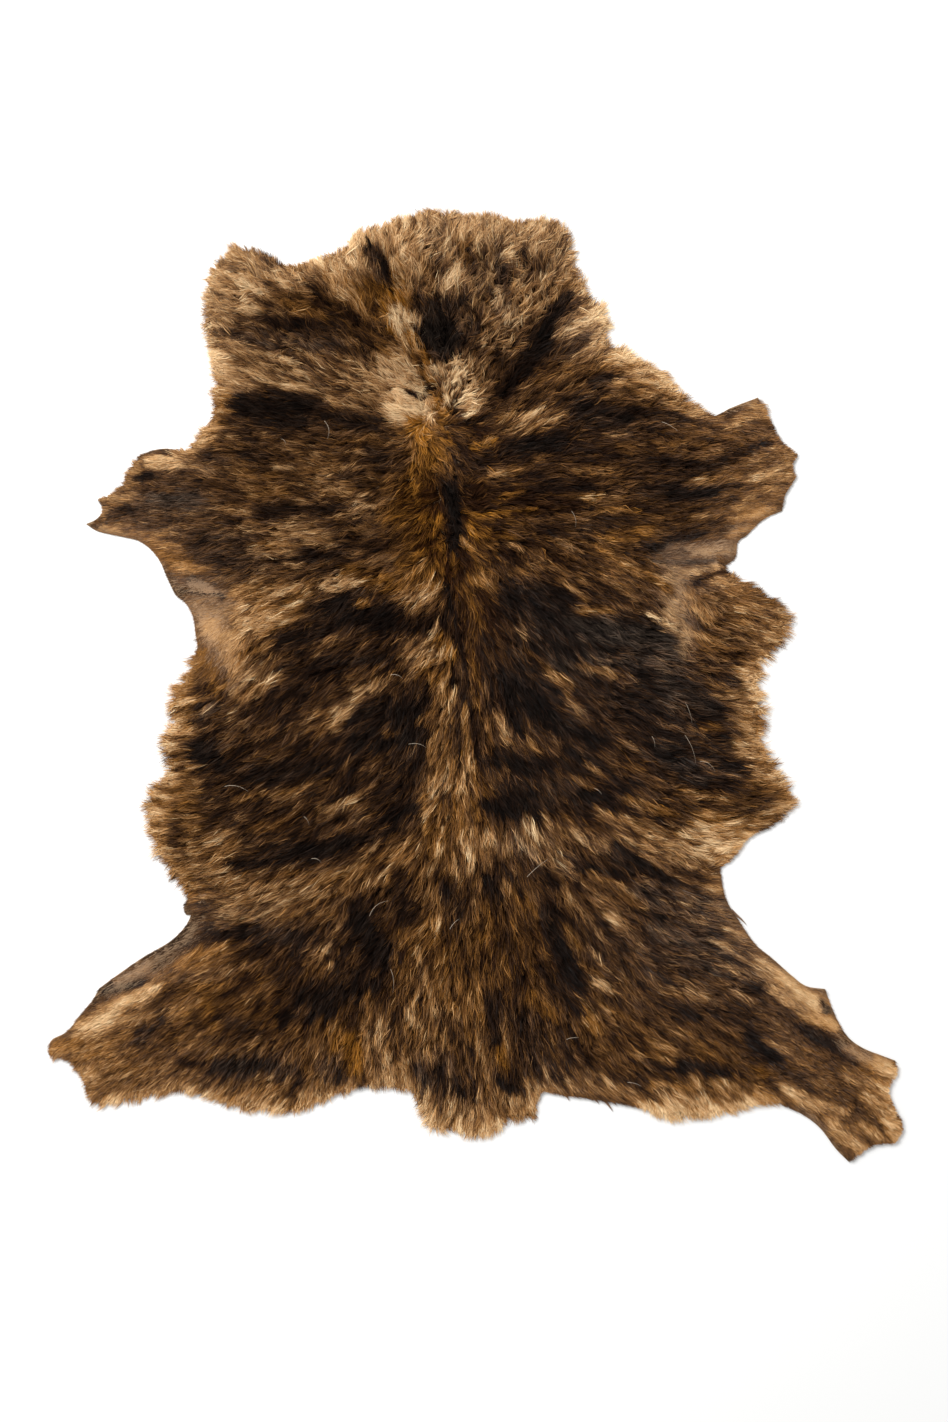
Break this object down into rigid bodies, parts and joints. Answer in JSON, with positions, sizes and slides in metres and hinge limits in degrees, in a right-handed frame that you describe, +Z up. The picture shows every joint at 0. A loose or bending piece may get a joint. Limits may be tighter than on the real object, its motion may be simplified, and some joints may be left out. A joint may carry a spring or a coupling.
{
  "type": "hair-on sheepskin pelt",
  "caption": "Whole hair-on hide laid flat, with neck, leg tabs and a short tail, a brindled coat and bare leather margins; a rug or throw.",
  "frame": {"origin": "on the floor under the middle of the hide's bounding box", "axes": "+Y from tail to neck, +X across the hide, +Z up out of the hair side"},
  "size_m": [0.8569, 0.9557, 0.0254],
  "materials": {
    "coat": "lying guard hair, brindled near-black, brown, rust and tan"
  },
  "bodies": {
    "root": {"pelt": "coat"}
  },
  "joints": []
}
